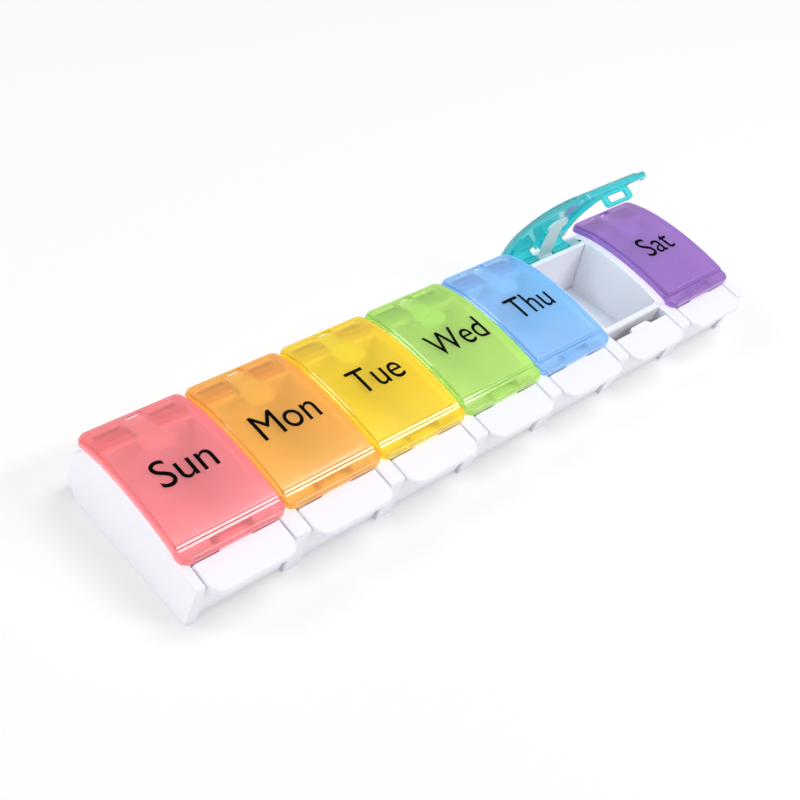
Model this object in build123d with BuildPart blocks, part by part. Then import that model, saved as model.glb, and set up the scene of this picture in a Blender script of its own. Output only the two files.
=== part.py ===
from build123d import *
import os
from math import cos, radians, sin, sqrt, tan

os.makedirs("parts", exist_ok=True)

# Weekly pill organizer: seven wells in one tray, each with an arched lid on a common
# rod and a button that frees the lid's latch, so that a leaf spring can lift it.
# Millimetres. X runs along the row of days, Y from the buttons back to the hinge, Z up.
# The origin is the centre of the rectangle that the organizer covers on the table.

# The row of days
DAYS = ("sun", "mon", "tue", "wed", "thu", "fri", "sat")
OPEN_DAY = "fri"
PITCH = 31.5
DIVIDER = 5.0
END_WALL = 2.8
BAY_WIDTH = PITCH - DIVIDER
LENGTH = (len(DAYS) - 1) * PITCH + BAY_WIDTH + 2 * END_WALL
MIDDLE_DAY = (len(DAYS) - 1) / 2
CENTRES = [(day - MIDDLE_DAY) * PITCH for day in range(len(DAYS))]

# Depths from front to back
BUTTON_OVERHANG = 3.2
BAY_LENGTH = 10.1
FRONT_WALL = 2.0
WELL_LENGTH = 31.5
REAR_WALL = 1.6
HINGE_BEHIND_WELL = 4.3
SEAM_BEHIND_HINGE = 1.6
BACK_BEHIND_HINGE = 7.5
DEPTH = (BUTTON_OVERHANG + BAY_LENGTH + FRONT_WALL + WELL_LENGTH + REAR_WALL
         + HINGE_BEHIND_WELL + BACK_BEHIND_HINGE)
BUTTON_FRONT = -DEPTH / 2
FIN_FRONT = BUTTON_FRONT + BUTTON_OVERHANG
BAY_BACK = FIN_FRONT + BAY_LENGTH
WELL_FRONT = BAY_BACK + FRONT_WALL
WELL_BACK = WELL_FRONT + WELL_LENGTH
TROUGH_FRONT = WELL_BACK + REAR_WALL
HINGE_Y = TROUGH_FRONT + HINGE_BEHIND_WELL
BACK = HINGE_Y + BACK_BEHIND_HINGE

# Heights
FIN_TOP = 16.0
SHELF_TOP = 17.1
HINGE_Z = 16.1
LID_TOP = 24.4
FLOOR_TOP = 3.2
FLOOR = 1.6
RIM_TOP = 17.7
TROUGH_FLOOR = 6.0

# The lid's arch: a wide arc ahead of its highest point and a tighter one behind
APEX_TO_HINGE = 11.5
APEX_Y = HINGE_Y - APEX_TO_HINGE
FRONT_RADIUS = 110.0
REAR_RADIUS = 50.0

# Clearances
GAP = 0.3
RUNNING_GAP = 0.05

# Lid
LID_GAP = 0.4
LID_WIDTH = PITCH - LID_GAP
LID_CORNER = 2.6
LID_BEHIND_HINGE = 3.4
PANEL = 1.3
PANEL_INSET = 0.6
PANEL_RISE = 0.8
SKIRT = 1.2
SKIRT_DROP = 2.4
LIP = 1.1
LIP_LENGTH = 4.0
LIP_RISE = 2.0
LIP_SLOPE = 0.7
WINDOW_WIDTH = 5.2
WINDOW_LENGTH = 1.7
WINDOW_RIM = 1.0
HEEL_ROOM = 2.1
HEEL_REACH = 0.8
OPEN_ANGLE = 62.0

# Hinge
ROD_RADIUS = 1.0
ROD_BORE = ROD_RADIUS + RUNNING_GAP
KNUCKLE_RADIUS = 2.2
KNUCKLE_WIDTH = 8.2
KNUCKLE_INNER = 3.9
WEB = 2.6
PAD_INNER = 3.5
PAD_OUTER = 12.9
PAD_DROP = 3.0
EAR = 0.8

# Latch
LOOP = 1.1
LOOP_WIDTH = 12.3
LOOP_DEPTH = 4.0
LOOP_LEG = 2.0
LOOP_BAR = 1.1
LOOP_CORNER = 1.2
SLOT_CORNER = 0.5

# Button
BUTTON_GAP = 0.4
BUTTON_WIDTH = BAY_WIDTH - 2 * BUTTON_GAP
BUTTON_LENGTH = 9.7
BUTTON_TILT = 9.0
BUTTON_PLATE = 1.7
BUTTON_CORNER = 4.2
BUTTON_ROUNDING = 0.8
BUTTON_WALL = 1.4
BUTTON_FOOT = 1.2
SKIRT_FRONT = 0.3
SKIRT_RAKE = 14.0
TONGUE_WIDTH = 10.0
TONGUE_TIP = 7.4
TONGUE_THICKNESS = 1.3
TONGUE_DROP = 0.3
TONGUE_ROUNDING = 0.5
PIVOT_RADIUS = 1.45
PIVOT_BORE = PIVOT_RADIUS + RUNNING_GAP
PIVOT_DEPTH = 1.8
PIVOT_HUB = 1.9
PIVOT_Z = 5.0
PIVOT_Y = BAY_BACK - PIVOT_HUB - GAP

# Button spring and the ledge that it stands on
SPRING_RADIUS = 1.6
SPRING_WIRE = 0.5
LEDGE = 1.2
LEDGE_TOP = 8.7
LEDGE_WIDTH = 6.0
PEG_HEIGHT = 1.5

# Leaf spring under each lid
LEAF = 0.75
LEAF_HEAD = 8.8
LEAF_NECK = 6.2
LEAF_TIP = 5.6
LEAF_TAPER = 2.2
LEAF_SHOULDER = 5.6
LEAF_EYE = 1.9
LEAF_BEND = 4.4
LEAF_REACH = 13.2
RELEASED_REACH = 16.6
LEAF_FOLLOW = 0.95

# Tray details
FIN_RAKE = 3.0
FIN_ROUNDING = 0.8
SHELF_BACK = 6.5
SHELF_RISE = 0.9
BACK_SHOULDER = 4.4
BACK_TOP = 15.4
BACK_WALL = 1.8
BACK_KNEE = 4.1
BACK_FOOT = 1.6
FOOT_STEP = 3.7
FOOT_BEVEL = 1.3
WELL_CORNER = 1.2
SLOT = 2.0
SLOT_MARGIN = 1.2
SLOT_ROOF = 0.5
SLOT_TOP = FIN_TOP - SLOT_ROOF
STRIP_INSET = 0.5
SEAM_KNEE = 10.0

# Places of the button, which the ledge and the spring under it follow
LIP_BOTTOM = SHELF_TOP + GAP
tilt = radians(BUTTON_TILT)
rake = radians(SKIRT_RAKE)
PLATE_TOP = LIP_BOTTOM - GAP
PLATE_BACK = BUTTON_FRONT + BUTTON_LENGTH * cos(tilt)
UNDER_PLATE = PLATE_TOP - BUTTON_PLATE / cos(tilt)
SKIRT_TOP_Y = FIN_FRONT + SKIRT_FRONT
SKIRT_TOP_Z = PLATE_TOP - (PLATE_BACK - SKIRT_TOP_Y) * tan(tilt) - BUTTON_PLATE / 2
SKIRT_FOOT_Y = SKIRT_TOP_Y + (SKIRT_TOP_Z - BUTTON_FOOT) * tan(rake)
SPRING_FRONT = (SKIRT_TOP_Y + (SKIRT_TOP_Z - LEDGE_TOP + LEDGE) * tan(rake)
                + BUTTON_WALL + 2 * GAP)
SPRING_Y = SPRING_FRONT + SPRING_RADIUS
SPRING_TOP = UNDER_PLATE - (PLATE_BACK - SPRING_FRONT) * tan(tilt) - RUNNING_GAP


def arch(y, drop):
    """Height at y of the curve that lies drop under the lid's arch."""
    radius = FRONT_RADIUS if y < APEX_Y else REAR_RADIUS
    return LID_TOP - radius + sqrt((radius - drop) ** 2 - (y - APEX_Y) ** 2)


def on_arch(y, drop):
    """The point of that curve at y."""
    return (y, arch(y, drop))


def arch_line(y_front, y_back, drop):
    """That curve between two places, one arc on each side of its highest point."""
    cuts = [y_front, APEX_Y, y_back] if y_front < APEX_Y < y_back else [y_front, y_back]
    for start, end in zip(cuts, cuts[1:]):
        middle = (start + end) / 2
        ThreePointArc(on_arch(start, drop), on_arch(middle, drop), on_arch(end, drop))


def arch_band(y_front, y_back, top, bottom):
    """Outline of a band between two such curves."""
    arch_line(y_front, y_back, top)
    Line(on_arch(y_back, top), on_arch(y_back, bottom))
    arch_line(y_front, y_back, bottom)
    Line(on_arch(y_front, top), on_arch(y_front, bottom))


def opened(x, angle):
    """Where a piece drawn closed goes once it is turned open about the rod."""
    return Location((x, HINGE_Y, HINGE_Z), (-angle, 0, 0)) * Location((0, -HINGE_Y, -HINGE_Z))


def bay_centres(y_front, y_back):
    """The middle of every bay, between two depths."""
    return [(x, (y_front + y_back) / 2) for x in CENTRES]


# Base tray and rear rail: the section of their walls runs the whole length, the seam
# between them lies behind the wells, and the tray's two end walls reach further back
DIVIDER_DROP = SKIRT_DROP + GAP
SHOULDER_Y = HINGE_Y + BACK_SHOULDER
EAR_TOP = HINGE_Z + KNUCKLE_RADIUS + EAR
EAR_Y = HINGE_Y + EAR / 2
SEAM_Y = HINGE_Y + SEAM_BEHIND_HINGE
SEAM_Z = EAR_TOP - (SEAM_Y - EAR_Y) * (EAR_TOP - BACK_TOP) / (SHOULDER_Y - EAR_Y)
ROD_START = -LENGTH / 2 + END_WALL / 2


def front_outline():
    """The lines of the section from the foot of the front up to the hinge."""
    Polyline(
        (FIN_FRONT + FIN_RAKE, 0),
        (FIN_FRONT, FIN_TOP),
        (FIN_FRONT + SHELF_BACK, SHELF_TOP),
        (BAY_BACK, SHELF_TOP),
        on_arch(BAY_BACK + SHELF_RISE, DIVIDER_DROP),
    )


with BuildPart() as base_tray:
    with BuildSketch(Plane.YZ):
        with BuildLine():
            front_outline()
            arch_line(BAY_BACK + SHELF_RISE, WELL_BACK, DIVIDER_DROP)
            Polyline(
                on_arch(WELL_BACK, DIVIDER_DROP),
                (WELL_BACK, 0),
                (FIN_FRONT + FIN_RAKE, 0),
            )
        make_face()
    extrude(amount=LENGTH / 2, both=True)
    for side in (-1, 1):
        with BuildSketch(Plane.YZ.offset(side * (LENGTH / 2 - END_WALL))):
            with BuildLine():
                arch_line(WELL_BACK, HINGE_Y - EAR, DIVIDER_DROP)
                Polyline(
                    on_arch(HINGE_Y - EAR, DIVIDER_DROP),
                    (EAR_Y, EAR_TOP),
                    (SEAM_Y, SEAM_Z),
                    (BACK - FOOT_STEP, SEAM_KNEE),
                    (BACK - FOOT_STEP, BACK_FOOT),
                    (BACK - FOOT_STEP - FOOT_BEVEL, 0),
                    (WELL_BACK, 0),
                    on_arch(WELL_BACK, DIVIDER_DROP),
                )
            make_face()
        extrude(amount=side * END_WALL)
    fin_edges = base_tray.edges().filter_by(Axis.X).sort_by_distance((0, FIN_FRONT, FIN_TOP))
    fillet(fin_edges[0], FIN_ROUNDING)

    # Wells that hold the pills, open behind until the rail closes them, and the shallow
    # hollow under each floor
    with BuildSketch(Plane.XY.offset(FLOOR_TOP)):
        with Locations(*bay_centres(WELL_FRONT, WELL_BACK + 2 * WELL_CORNER)):
            RectangleRounded(BAY_WIDTH, WELL_LENGTH + 2 * WELL_CORNER, WELL_CORNER)
    extrude(amount=LID_TOP, mode=Mode.SUBTRACT)
    with BuildSketch(Plane.XY):
        with Locations(*bay_centres(WELL_FRONT, WELL_BACK)):
            RectangleRounded(BAY_WIDTH - 2 * FLOOR, WELL_LENGTH - 2 * FLOOR, WELL_CORNER)
    extrude(amount=FLOOR_TOP - FLOOR, mode=Mode.SUBTRACT)

    # Front bays for the buttons, open below as well
    with BuildSketch(Plane.XY):
        with Locations(*bay_centres(BUTTON_FRONT, BAY_BACK)):
            Rectangle(BAY_WIDTH, BAY_BACK - BUTTON_FRONT)
    extrude(amount=LID_TOP, mode=Mode.SUBTRACT)

    # The wells' front rims lie lower than the dividers
    with BuildSketch(Plane.XY.offset(RIM_TOP)):
        with Locations(*bay_centres(BAY_BACK, WELL_FRONT)):
            Rectangle(BAY_WIDTH, FRONT_WALL)
    extrude(amount=LID_TOP, mode=Mode.SUBTRACT)

    # Slots that core out the dividers from below
    with BuildSketch(Plane.XY):
        slots = bay_centres(WELL_FRONT, WELL_BACK)[:-1]
        with Locations(*[(x + PITCH / 2, y) for x, y in slots]):
            Rectangle(SLOT, WELL_LENGTH - 2 * SLOT_MARGIN)
    extrude(amount=SLOT_TOP, mode=Mode.SUBTRACT)

    # Ledge and peg for each button's spring
    with BuildSketch(Plane.XY.offset(LEDGE_TOP - LEDGE)):
        with Locations(*bay_centres(SPRING_FRONT, BAY_BACK)):
            Rectangle(LEDGE_WIDTH, BAY_BACK - SPRING_FRONT)
    extrude(amount=LEDGE)
    with BuildSketch(Plane.XY.offset(LEDGE_TOP)):
        with Locations(*[(x, SPRING_Y) for x in CENTRES]):
            Circle(SPRING_RADIUS - SPRING_WIRE - 2 * RUNNING_GAP)
    extrude(amount=PEG_HEIGHT)

    # Blind bores for the buttons' pivots, and the bore for the hinge rod
    with Locations(*[Location((x, PIVOT_Y, PIVOT_Z), (0, 90, 0)) for x in CENTRES]):
        Cylinder(PIVOT_BORE, BAY_WIDTH + 2 * PIVOT_DEPTH, mode=Mode.SUBTRACT)
    with BuildSketch(Plane.YZ.offset(ROD_START)):
        with Locations((HINGE_Y, HINGE_Z)):
            Circle(ROD_BORE)
    extrude(amount=LENGTH, mode=Mode.SUBTRACT)

base_tray.part.label = "base_tray"
export_step(base_tray.part, "parts/base_tray.step")

# Rear rail: closes the wells from behind, carries the rod, and shows as a strip at each end
RAIL_LENGTH = LENGTH - 2 * STRIP_INSET
with BuildPart() as rear_rail:
    with BuildSketch(Plane.YZ):
        with BuildLine():
            arch_line(WELL_BACK, HINGE_Y - EAR, DIVIDER_DROP)
            Polyline(
                on_arch(HINGE_Y - EAR, DIVIDER_DROP),
                (EAR_Y, EAR_TOP),
                (SHOULDER_Y, BACK_TOP),
                (BACK, BACK_KNEE),
                (BACK, BACK_FOOT),
                (BACK - FOOT_STEP, BACK_FOOT),
                (BACK - FOOT_STEP - FOOT_BEVEL, 0),
                (WELL_BACK, 0),
                on_arch(WELL_BACK, DIVIDER_DROP),
            )
        make_face()
    extrude(amount=RAIL_LENGTH / 2, both=True)

    # Room for the tray's end walls
    for side in (-1, 1):
        with BuildSketch(Plane.YZ.offset(side * (LENGTH / 2 - END_WALL))):
            with BuildLine():
                Polyline(
                    (WELL_BACK, 0),
                    (WELL_BACK, LID_TOP),
                    (SEAM_Y, LID_TOP),
                    (SEAM_Y, SEAM_Z),
                    (BACK - FOOT_STEP, SEAM_KNEE),
                    (BACK - FOOT_STEP, BACK_FOOT),
                    (BACK - FOOT_STEP - FOOT_BEVEL, 0),
                    close=True,
                )
            make_face()
        extrude(amount=side * END_WALL, mode=Mode.SUBTRACT)

    # The wells' rear rims lie lower than the brackets between them
    rear_rim = arch(WELL_BACK, DIVIDER_DROP) - GAP
    with BuildSketch(Plane.XY.offset(rear_rim)):
        with Locations(*bay_centres(WELL_BACK, TROUGH_FRONT)):
            Rectangle(BAY_WIDTH, REAR_WALL)
    extrude(amount=LID_TOP, mode=Mode.SUBTRACT)

    # Hinge trough
    trough_back = SHOULDER_Y - BACK_WALL
    with BuildSketch(Plane.XY.offset(TROUGH_FLOOR)):
        with Locations(*bay_centres(TROUGH_FRONT, trough_back)):
            Rectangle(BAY_WIDTH, trough_back - TROUGH_FRONT)
    extrude(amount=LID_TOP, mode=Mode.SUBTRACT)
    with BuildSketch(Plane.XY.offset(BACK_TOP)):
        with Locations(*bay_centres(TROUGH_FRONT, BACK)):
            Rectangle(BAY_WIDTH, BACK - TROUGH_FRONT)
    extrude(amount=LID_TOP, mode=Mode.SUBTRACT)
    with BuildSketch(Plane.YZ.offset(ROD_START)):
        with Locations((HINGE_Y, HINGE_Z)):
            Circle(ROD_BORE)
    extrude(amount=LENGTH, mode=Mode.SUBTRACT)

rear_rail.part.label = "rear_rail"
export_step(rear_rail.part, "parts/rear_rail.step")

# Hinge rod: pushed in from the right end and stopped by the left end wall
with BuildPart() as hinge_rod:
    with BuildSketch(Plane.YZ.offset(ROD_START + GAP)):
        with Locations((HINGE_Y, HINGE_Z)):
            Circle(ROD_RADIUS)
    extrude(amount=LENGTH - END_WALL / 2 - 2 * GAP)

hinge_rod.part.label = "hinge_rod"
export_step(hinge_rod.part, "parts/hinge_rod.step")

# Lid, drawn closed over the middle of the row
LID_BACK = HINGE_Y + LID_BEHIND_HINGE
PANEL_FRONT = BAY_BACK + GAP
LIP_FRONT = PANEL_FRONT - LIP_LENGTH
LIP_TOP = LIP_BOTTOM + LIP_RISE
LIP_END = BAY_BACK - 1.5 * GAP
HEEL = KNUCKLE_RADIUS + HEEL_ROOM
HEEL_FRONT = HINGE_Y + HEEL_REACH
INNER_HALF = LID_WIDTH / 2 - SKIRT
HOLLOW_DROP = LID_TOP - LIP_BOTTOM

with BuildPart() as lid:
    # Flange with its skirts, raised panel and front lip
    with BuildSketch(Plane.YZ):
        with BuildLine():
            arch_band(PANEL_FRONT, LID_BACK, PANEL_RISE, SKIRT_DROP)
        make_face()
        with BuildLine():
            Polyline(
                (LIP_FRONT, LIP_BOTTOM),
                (LIP_FRONT, LIP_TOP),
                (PANEL_FRONT + SKIRT, LIP_TOP + LIP_SLOPE),
                on_arch(PANEL_FRONT + SKIRT, SKIRT_DROP),
                on_arch(PANEL_FRONT, SKIRT_DROP),
                (LIP_END, LIP_BOTTOM),
                close=True,
            )
        make_face()
    extrude(amount=LID_WIDTH / 2, both=True)
    with BuildSketch(Plane.YZ):
        with BuildLine():
            arch_band(PANEL_FRONT, LID_BACK, 0, PANEL)
        make_face()
    extrude(amount=LID_WIDTH / 2 - PANEL_INSET, both=True)
    with BuildSketch(Plane.XY):
        with Locations((0, (LIP_FRONT + LID_BACK) / 2)):
            RectangleRounded(LID_WIDTH, LID_BACK - LIP_FRONT, LID_CORNER)
    extrude(amount=2 * LID_TOP, mode=Mode.INTERSECT)

    # Hollow under the panel and under the lip
    with BuildSketch(Plane.YZ):
        with BuildLine():
            arch_band(PANEL_FRONT + SKIRT, LID_BACK - SKIRT, PANEL, HOLLOW_DROP)
        make_face()
    extrude(amount=INNER_HALF, both=True, mode=Mode.SUBTRACT)
    with BuildSketch(Plane.YZ):
        with BuildLine():
            Polyline(
                (LIP_FRONT + SKIRT, LIP_BOTTOM - SKIRT),
                (LIP_FRONT + SKIRT, LIP_TOP - LIP),
                (PANEL_FRONT, LIP_TOP + LIP_SLOPE - LIP),
                (PANEL_FRONT, LIP_BOTTOM - SKIRT),
                close=True,
            )
        make_face()
    extrude(amount=INNER_HALF, both=True, mode=Mode.SUBTRACT)

    # The heel is cut short, so that it passes over the tray's back when the lid opens
    with BuildSketch(Plane.YZ):
        with Locations((HEEL_FRONT, HINGE_Z + HEEL)):
            Rectangle(LID_BEHIND_HINGE, HEEL, align=(Align.MIN, Align.MAX))
    extrude(amount=LID_WIDTH, both=True, mode=Mode.SUBTRACT)

    # Window over the bend of the leaf spring
    with BuildSketch(Plane.XY):
        with Locations((0, LID_BACK - WINDOW_RIM - WINDOW_LENGTH / 2)):
            Rectangle(WINDOW_WIDTH, WINDOW_LENGTH)
    extrude(amount=2 * LID_TOP, mode=Mode.SUBTRACT)

    # Thick pads with webs and the two knuckles on the rod
    pad_front = TROUGH_FRONT + GAP
    pad_back = LID_BACK - SKIRT
    for side in (-1, 1):
        with BuildSketch(Plane.YZ.offset(side * PAD_INNER)):
            with BuildLine():
                arch_band(pad_front, pad_back, PANEL / 2, PAD_DROP)
            make_face()
        extrude(amount=side * (PAD_OUTER - PAD_INNER))
        with BuildSketch(Plane.YZ.offset(side * KNUCKLE_INNER)):
            with Locations((HINGE_Y, HINGE_Z)):
                Circle(KNUCKLE_RADIUS)
                Rectangle(WEB, arch(HINGE_Y, PANEL) - HINGE_Z, align=(Align.CENTER, Align.MIN))
        extrude(amount=side * KNUCKLE_WIDTH)
    with Locations(Location((0, HINGE_Y, HINGE_Z), (0, 90, 0))):
        Cylinder(ROD_BORE, LID_WIDTH, mode=Mode.SUBTRACT)

    # Latch loop under the lip, its legs rooted in two blocks
    loop_back = BAY_BACK - 1.5 * GAP
    root_front = LIP_FRONT + SKIRT
    with BuildSketch(Plane.XY.offset(LIP_BOTTOM)):
        for side in (-1, 1):
            with Locations((side * (LOOP_WIDTH - LOOP_LEG) / 2, (root_front + loop_back) / 2)):
                Rectangle(LOOP_LEG, loop_back - root_front)
    extrude(amount=LIP_RISE - LIP / 2)
    loop_top = LIP_TOP + LIP_SLOPE - LIP
    loop_bottom = LIP_BOTTOM - LOOP_DEPTH
    slot_top = LIP_BOTTOM - LOOP_BAR / 2
    slot_bottom = loop_bottom + LOOP_BAR
    with BuildSketch(Plane.XZ.offset(-loop_back)) as loop:
        with Locations((0, loop_bottom)):
            Rectangle(LOOP_WIDTH, loop_top - loop_bottom, align=(Align.CENTER, Align.MIN))
        fillet(loop.vertices().group_by(Axis.Y)[0], LOOP_CORNER)
        with Locations((0, (slot_bottom + slot_top) / 2)):
            RectangleRounded(
                LOOP_WIDTH - 2 * LOOP_LEG,
                slot_top - slot_bottom,
                SLOT_CORNER,
                mode=Mode.SUBTRACT,
            )
    extrude(amount=LOOP)

lid_shape = lid.part
for day, x in zip(DAYS, CENTRES):
    with BuildPart() as day_lid:
        with Locations(opened(x, OPEN_ANGLE if day == OPEN_DAY else 0)):
            add(lid_shape)
    day_lid.part.label = f"lid_{day}"
    export_step(day_lid.part, f"parts/lid_{day}.step")


# Leaf spring, drawn for a closed lid: an eye on the rod and a strip that bends forward
def leaf_spring(reach):
    tip = HINGE_Y - reach
    bend = HINGE_Y - LEAF_BEND
    upper = PANEL + GAP
    lower = upper + LEAF
    slope = -(bend - APEX_Y) / sqrt((REAR_RADIUS - upper) ** 2 - (bend - APEX_Y) ** 2)
    with BuildPart() as leaf:
        with BuildSketch(Plane.YZ):
            with BuildLine():
                outer = HINGE_Y + LEAF_EYE
                inner = outer - LEAF
                arch_line(tip, bend, upper)
                TangentArc(on_arch(bend, upper), (outer, HINGE_Z), tangent=(1, slope))
                Line((outer, HINGE_Z), (inner, HINGE_Z))
                TangentArc(on_arch(bend, lower), (inner, HINGE_Z), tangent=(1, slope))
                arch_line(tip, bend, lower)
                Line(on_arch(tip, upper), on_arch(tip, lower))
            make_face()
        extrude(amount=LEAF_HEAD / 2, both=True)
        with BuildSketch(Plane.XY):
            with BuildLine():
                shoulder = HINGE_Y - LEAF_SHOULDER
                Polyline(
                    (0, tip),
                    (LEAF_TIP / 2, tip),
                    (LEAF_HEAD / 2, tip + LEAF_TAPER),
                    (LEAF_HEAD / 2, shoulder - LEAF_TAPER),
                    (LEAF_NECK / 2, shoulder),
                    (LEAF_NECK / 2, BACK),
                    (0, BACK),
                )
                mirror(about=Plane.YZ)
            make_face()
        extrude(amount=2 * LID_TOP, mode=Mode.INTERSECT)
        with Locations(Location((0, HINGE_Y, HINGE_Z), (0, 90, 0))):
            Cylinder(LEAF_EYE, LEAF_NECK)
            Cylinder(ROD_BORE, LEAF_NECK, mode=Mode.SUBTRACT)
    return leaf.part


resting_leaf = leaf_spring(LEAF_REACH)
released_leaf = leaf_spring(RELEASED_REACH)
for day, x in zip(DAYS, CENTRES):
    released = day == OPEN_DAY
    with BuildPart() as day_leaf:
        with Locations(opened(x, OPEN_ANGLE * LEAF_FOLLOW if released else 0)):
            add(released_leaf if released else resting_leaf)
    day_leaf.part.label = f"leaf_spring_{day}"
    export_step(day_leaf.part, f"parts/leaf_spring_{day}.step")

# Button: a tilted plate on a three-sided skirt, with a tongue and two pivots
plate_plane = Plane(
    origin=(0, PLATE_BACK, PLATE_TOP), x_dir=(1, 0, 0), z_dir=(0, -sin(tilt), cos(tilt))
)
TONGUE_REACH = loop_back - LOOP - 2 * GAP - PLATE_BACK

with BuildPart() as button:
    # Plate, rounded at its front corners and along its upper edge
    with BuildSketch(plate_plane) as plate:
        Rectangle(BUTTON_WIDTH, BUTTON_LENGTH, align=(Align.CENTER, Align.MAX))
        fillet(plate.vertices().group_by(Axis.Y)[0], BUTTON_CORNER)
    extrude(amount=-BUTTON_PLATE)
    rim = button.faces().sort_by(Axis.Z)[-1].edges().sort_by(Axis.Y)[:-1]
    fillet(rim, BUTTON_ROUNDING)

    # Skirt with its hollow
    with BuildSketch(Plane.YZ):
        with BuildLine():
            Polyline(
                (SKIRT_TOP_Y, SKIRT_TOP_Z),
                (PLATE_BACK, PLATE_TOP - BUTTON_PLATE / 2),
                (PLATE_BACK, PIVOT_Z + PIVOT_HUB),
                (PIVOT_Y, PIVOT_Z + PIVOT_HUB),
                (PIVOT_Y, PIVOT_Z - PIVOT_HUB),
                (SKIRT_FOOT_Y + 2 * BUTTON_WALL, BUTTON_FOOT),
                (SKIRT_FOOT_Y, BUTTON_FOOT),
                close=True,
            )
        make_face()
    extrude(amount=BUTTON_WIDTH / 2, both=True)
    with BuildSketch(Plane.YZ):
        with BuildLine():
            hollow_y = SKIRT_TOP_Y + BUTTON_WALL
            Polyline(
                (hollow_y, UNDER_PLATE - (PLATE_BACK - hollow_y) * tan(tilt)),
                (PLATE_BACK, UNDER_PLATE),
                (BAY_BACK, UNDER_PLATE),
                (BAY_BACK, 0),
                (SKIRT_FOOT_Y + BUTTON_WALL, 0),
                (SKIRT_FOOT_Y + BUTTON_WALL, BUTTON_FOOT),
                close=True,
            )
        make_face()
    extrude(amount=BUTTON_WIDTH / 2 - BUTTON_WALL, both=True, mode=Mode.SUBTRACT)

    # Tongue
    with BuildSketch(plate_plane.offset(-TONGUE_DROP)) as tongue:
        with BuildLine():
            Polyline(
                (-TONGUE_WIDTH / 2, -TONGUE_THICKNESS),
                (-TONGUE_WIDTH / 2, 0),
                (-TONGUE_TIP / 2, TONGUE_REACH),
                (TONGUE_TIP / 2, TONGUE_REACH),
                (TONGUE_WIDTH / 2, 0),
                (TONGUE_WIDTH / 2, -TONGUE_THICKNESS),
                close=True,
            )
        make_face()
        fillet(tongue.vertices().group_by(Axis.Y)[-1], TONGUE_ROUNDING)
    extrude(amount=-TONGUE_THICKNESS)

    # Pivots
    for side in (-1, 1):
        with BuildSketch(Plane.YZ.offset(side * (BUTTON_WIDTH / 2 - BUTTON_WALL))):
            with Locations((PIVOT_Y, PIVOT_Z)):
                Circle(PIVOT_HUB)
        extrude(amount=side * BUTTON_WALL)
        with BuildSketch(Plane.YZ.offset(side * (BUTTON_WIDTH / 2 - BUTTON_WALL))):
            with Locations((PIVOT_Y, PIVOT_Z)):
                Circle(PIVOT_RADIUS)
        extrude(amount=side * (BUTTON_WALL + BUTTON_GAP + PIVOT_DEPTH - GAP))

button_shape = button.part
for day, x in zip(DAYS, CENTRES):
    with BuildPart() as day_button:
        with Locations((x, 0, 0)):
            add(button_shape)
    day_button.part.label = f"button_{day}"
    export_step(day_button.part, f"parts/button_{day}.step")

# Button spring, as the sleeve that its coil fills
for day, x in zip(DAYS, CENTRES):
    with BuildPart() as button_spring:
        with BuildSketch(Plane.XY.offset(LEDGE_TOP)):
            with Locations((x, SPRING_Y)):
                Circle(SPRING_RADIUS)
                Circle(SPRING_RADIUS - SPRING_WIRE, mode=Mode.SUBTRACT)
        extrude(amount=SPRING_TOP - LEDGE_TOP)
    button_spring.part.label = f"button_spring_{day}"
    export_step(button_spring.part, f"parts/button_spring_{day}.step")
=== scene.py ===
"""Weekly pill organizer: a white tray with seven translucent day lids, buttons and springs.

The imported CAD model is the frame. Y runs from the buttons back to the hinge, X from Sunday
to Saturday. Lengths in this script are in millimetres and are turned into metres by MM.
"""
import bpy
from math import pi, radians, sqrt
from mathutils import Matrix, Vector


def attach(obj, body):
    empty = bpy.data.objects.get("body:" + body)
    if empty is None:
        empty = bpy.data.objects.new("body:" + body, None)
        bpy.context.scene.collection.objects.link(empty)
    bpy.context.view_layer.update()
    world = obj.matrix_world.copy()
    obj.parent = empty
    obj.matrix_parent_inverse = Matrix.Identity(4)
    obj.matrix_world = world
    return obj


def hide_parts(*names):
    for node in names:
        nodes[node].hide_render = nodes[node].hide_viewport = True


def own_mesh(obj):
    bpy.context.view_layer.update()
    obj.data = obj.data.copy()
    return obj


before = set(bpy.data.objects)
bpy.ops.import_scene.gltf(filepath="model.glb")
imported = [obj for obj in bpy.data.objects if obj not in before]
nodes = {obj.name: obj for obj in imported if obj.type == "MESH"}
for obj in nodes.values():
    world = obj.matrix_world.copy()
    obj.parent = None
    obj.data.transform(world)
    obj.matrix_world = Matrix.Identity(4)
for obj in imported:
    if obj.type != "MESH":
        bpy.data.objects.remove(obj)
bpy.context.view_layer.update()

MM = 0.001
DAYS = ("sun", "mon", "tue", "wed", "thu", "fri", "sat")
OPEN_DAY = "fri"
PITCH = 31.5
CENTRE = {day: (i - 3) * PITCH for i, day in enumerate(DAYS)}

# The rod that all lids turn on, and how far Friday's lid stands open
HINGE_Y, HINGE_Z = 22.6, 16.1
OPEN_ANGLE = 62.0

# The lid's arch: a wide arc ahead of its highest point and a tighter one behind
LID_TOP = 24.4
APEX_Y = 11.1
FRONT_RADIUS, REAR_RADIUS = 110.0, 50.0


# ---------------------------------------------------------------- drawing and shaping

def arch(y, drop):
    """Height at y of the curve that lies drop under the lid's arch."""
    radius = FRONT_RADIUS if y < APEX_Y else REAR_RADIUS
    return LID_TOP - radius + sqrt((radius - drop) ** 2 - (y - APEX_Y) ** 2)


def arch_line(y_front, y_back, drop, steps=8):
    """Points of that curve from one place to another."""
    places = [y_front + (y_back - y_front) * i / steps for i in range(steps + 1)]
    return [(y, arch(y, drop)) for y in places]


def take(piece):
    """Makes one piece the active one, and the only one that is selected."""
    bpy.ops.object.select_all(action="DESELECT")
    bpy.context.view_layer.objects.active = piece
    piece.select_set(True)


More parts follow.
